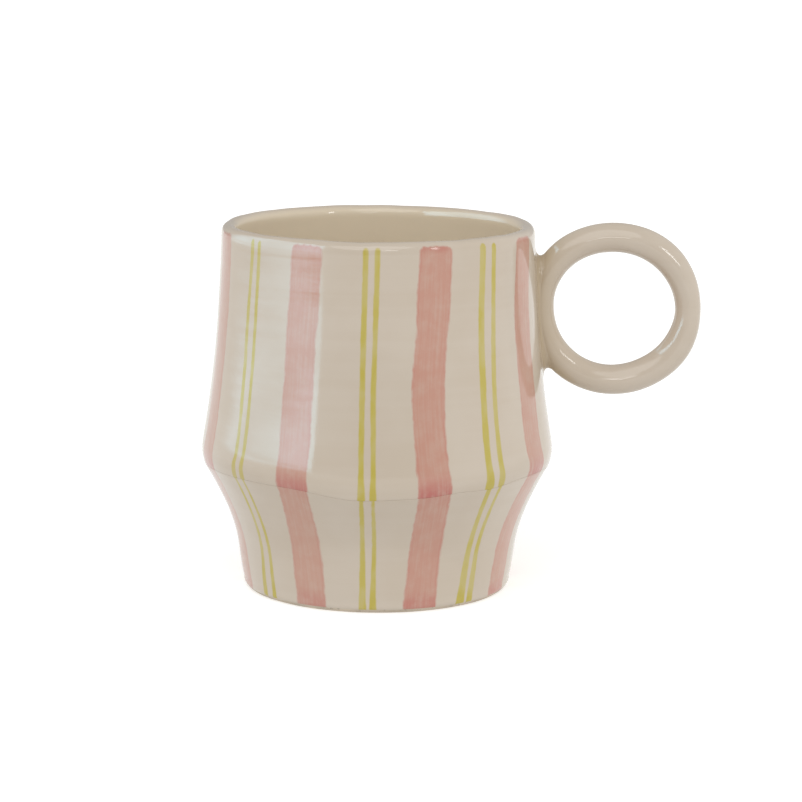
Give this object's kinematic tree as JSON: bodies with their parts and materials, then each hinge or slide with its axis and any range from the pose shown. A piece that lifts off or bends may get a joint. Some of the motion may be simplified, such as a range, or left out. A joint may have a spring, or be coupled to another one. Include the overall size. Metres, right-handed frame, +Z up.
{
  "type": "ceramic mug",
  "caption": "Hand-painted striped stoneware mug with a wide rounded shoulder, a narrower foot and a full-circle ring handle.",
  "frame": {"origin": "centre of the foot ring on the table, on the axis of the body", "axes": "+Z up along the axis of the body, +X towards the ring handle, whose ring lies in the XZ plane"},
  "size_m": [0.1367, 0.0966, 0.1004],
  "materials": {
    "cream_glaze": "warm white clay under a clear gloss glaze",
    "slip_fillet": "slip wiped round the joint, tan where the clear gloss glaze pools",
    "bare_clay": "unglazed fired clay, matte and slightly gritty",
    "pink_underglaze": "brushed rose pink underglaze under a clear gloss glaze",
    "green_underglaze": "brushed olive yellow underglaze under a clear gloss glaze"
  },
  "bodies": {
    "root": {"foot_ring": "bare_clay", "floor_disc": "cream_glaze", "lower_wall": "cream_glaze", "upper_wall": "cream_glaze", "ring_handle": "cream_glaze", "handle_slip": "slip_fillet", "pink_strokes_upper": "pink_underglaze", "pink_strokes_lower": "pink_underglaze", "green_lines_upper": "green_underglaze", "green_lines_lower": "green_underglaze"}
  },
  "joints": []
}
